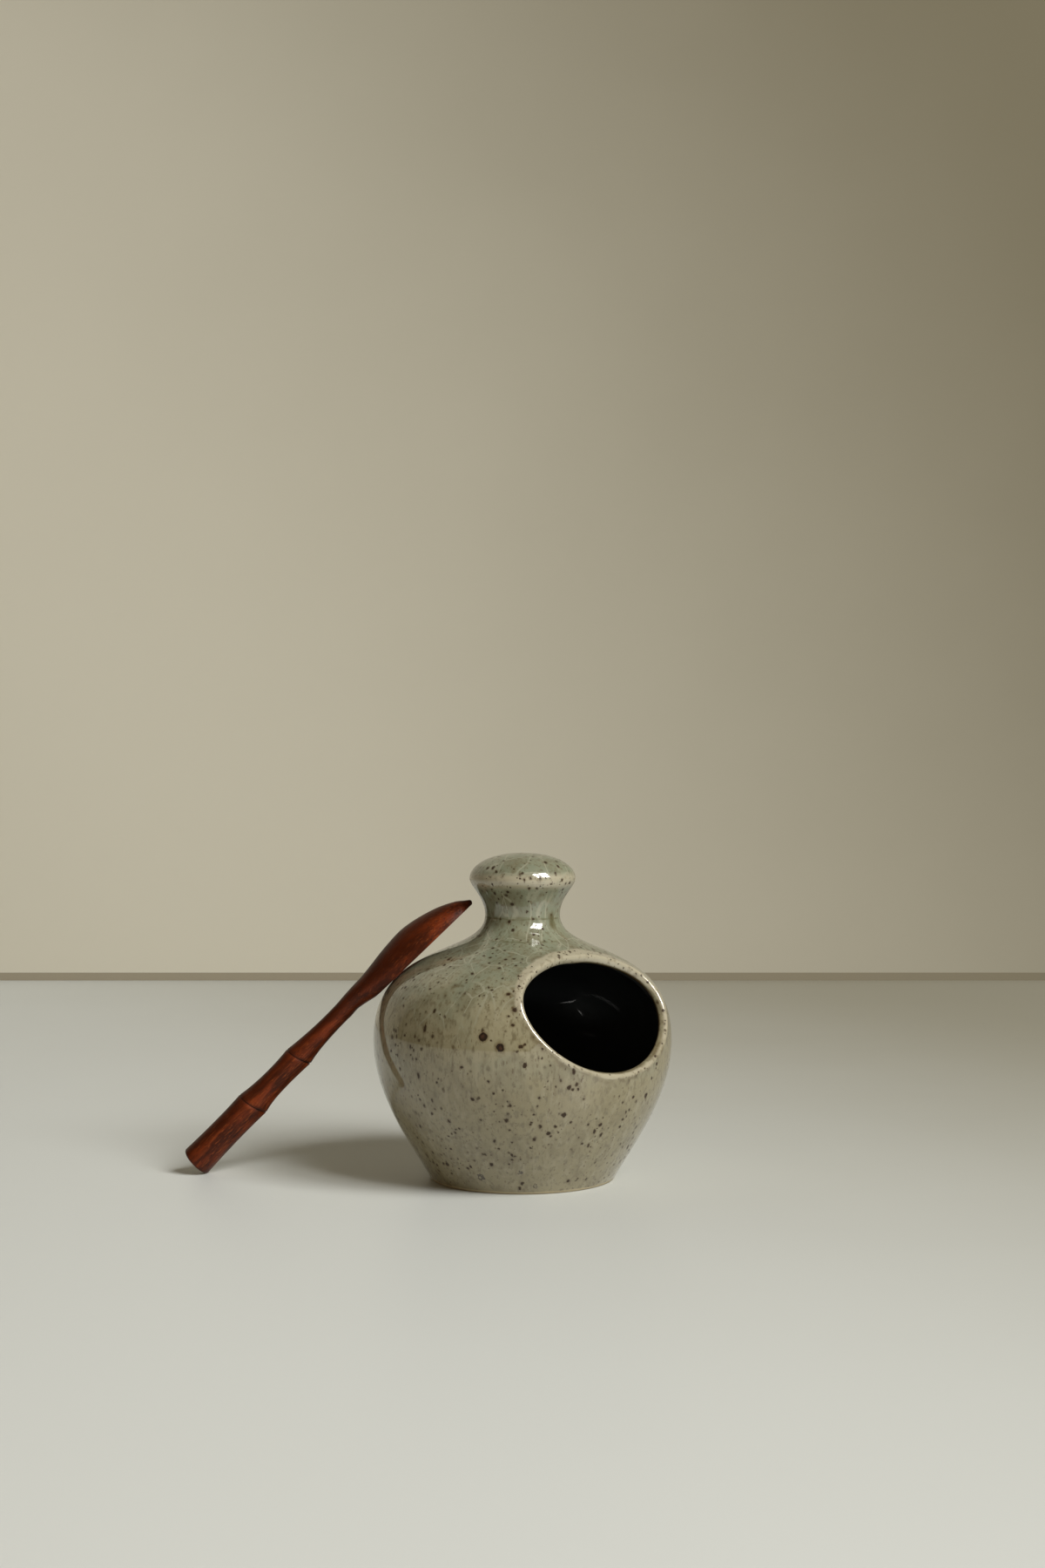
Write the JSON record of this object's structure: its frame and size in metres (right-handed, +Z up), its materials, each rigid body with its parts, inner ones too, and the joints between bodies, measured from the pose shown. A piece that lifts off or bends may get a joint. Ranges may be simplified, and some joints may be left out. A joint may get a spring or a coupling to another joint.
{
  "type": "salt pig",
  "caption": "Round glazed stoneware salt pig with a slanting lipped mouth in its shoulder and a mushroom knob, with a carved wooden salt spoon leaning on it.",
  "frame": {"origin": "middle of the pot's flat foot, on the table", "axes": "+Z up along the pot's axis, -Y the way the mouth faces, +X to the right as seen along +Y"},
  "size_m": [0.151, 0.1453, 0.1218],
  "materials": {
    "glaze": "clear celadon glaze over grey-beige stoneware, crackled, with iron specks",
    "lip_glaze": "thin glaze broken to cream where it runs off the edge",
    "spoon_wood": "oiled dark red-brown hardwood"
  },
  "bodies": {
    "pot": {"pot_body": "glaze", "mouth_lip": "lip_glaze", "knob": "glaze"},
    "spoon": {"spoon": "spoon_wood"}
  },
  "joints": [
    {"name": "spoon_lift", "type": "slide", "parent": "pot", "child": "spoon", "axis": [-0.5047, 0.4773, 0.7193], "range_m": [0, 0.12]}
  ]
}
